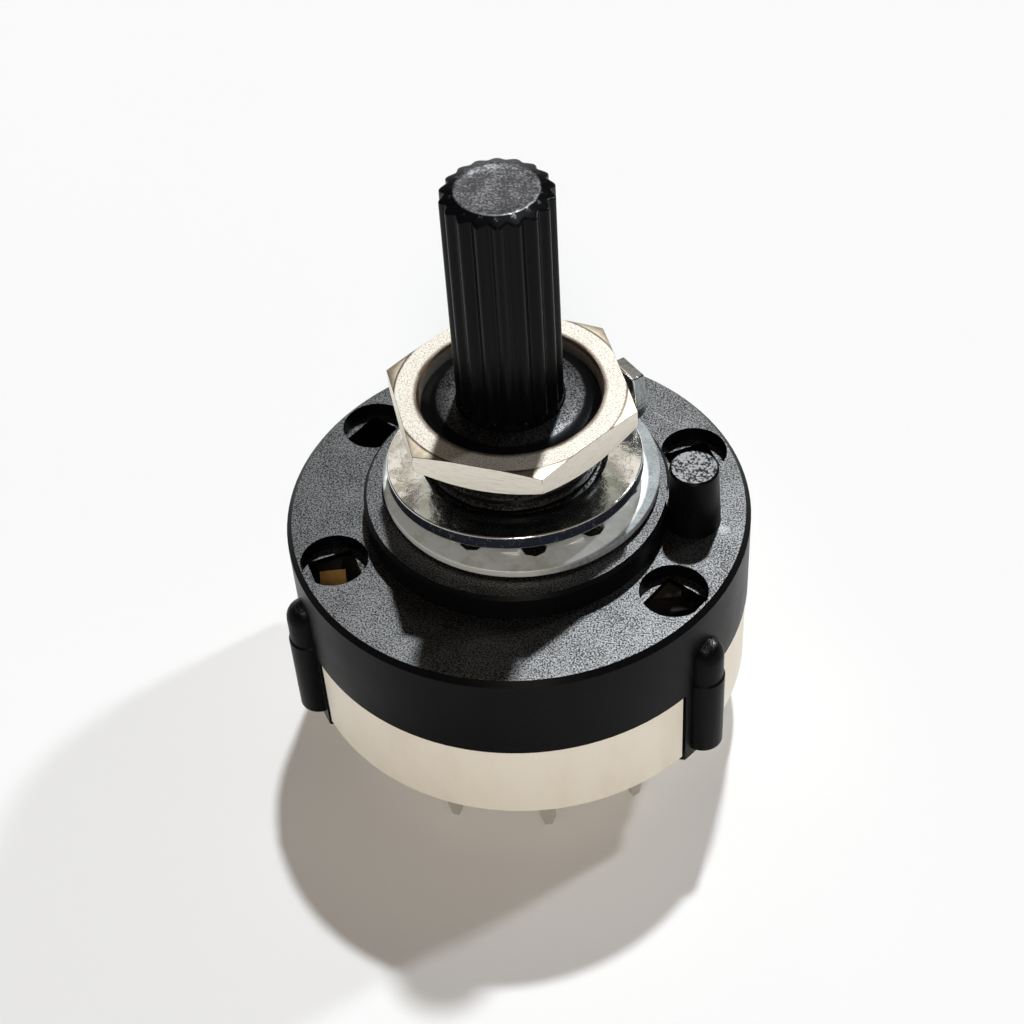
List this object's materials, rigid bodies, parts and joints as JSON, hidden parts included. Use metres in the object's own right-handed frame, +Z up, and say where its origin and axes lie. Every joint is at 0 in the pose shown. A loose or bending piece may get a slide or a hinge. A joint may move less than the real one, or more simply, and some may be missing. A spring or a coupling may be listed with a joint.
{
  "type": "rotary selector switch",
  "caption": "Panel-mount rotary selector switch: splined shaft in a threaded bushing with nut and washers, round snap-together body, locating post and solder pins below.",
  "frame": {"origin": "on the shaft's axis at the panel seat, the top of the cover's round boss", "axes": "+Z up the shaft towards the knob, +X from the shaft to the locating post, +Y completes the right-handed set"},
  "size_m": [0.027, 0.027, 0.0391],
  "materials": {
    "cover_plastic": "black moulded nylon, fine spark-eroded grain",
    "shaft_plastic": "black moulded plastic, satin",
    "base_plastic": "natural cream nylon, satin",
    "nut_plating": "warm nickel plating, lightly scratched",
    "washer_zinc": "bright bluish zinc plating",
    "contact_brass": "bare stamped brass",
    "wiper_bronze": "sprung bronze strip",
    "carrier_plastic": "plain insulating plastic",
    "plunger_plastic": "white acetal, smooth",
    "spring_steel": "drawn spring wire"
  },
  "bodies": {
    "housing": {"cover": "cover_plastic", "base": "base_plastic", "terminal_01": "contact_brass", "terminal_02": "contact_brass", "terminal_03": "contact_brass", "terminal_04": "contact_brass", "terminal_05": "contact_brass", "terminal_06": "contact_brass", "terminal_07": "contact_brass", "terminal_08": "contact_brass", "terminal_09": "contact_brass", "terminal_10": "contact_brass", "terminal_11": "contact_brass", "terminal_12": "contact_brass", "common_terminal": "contact_brass", "lock_washer": "washer_zinc", "tab_washer": "washer_zinc"},
    "rotor": {"shaft": "shaft_plastic", "contact_carrier": "carrier_plastic", "wiper": "wiper_bronze", "detent_spring": "spring_steel"},
    "nut": {"hex_nut": "nut_plating"},
    "plunger": {"detent_plunger": "plunger_plastic"}
  },
  "joints": [
    {"name": "shaft_turn", "type": "hinge", "parent": "housing", "child": "rotor", "pos_m": [0, 0, 0], "axis": [0, 0, -1], "range_deg": [0, 330]},
    {"name": "nut_travel", "type": "slide", "parent": "housing", "child": "nut", "axis": [0, 0, 1], "range_m": [-0.0019, 0.016]},
    {"name": "plunger_travel", "type": "slide", "parent": "rotor", "child": "plunger", "axis": [1, 0, 0], "range_m": [0, 0.00036], "stiffness_N_per_m": 800}
  ]
}
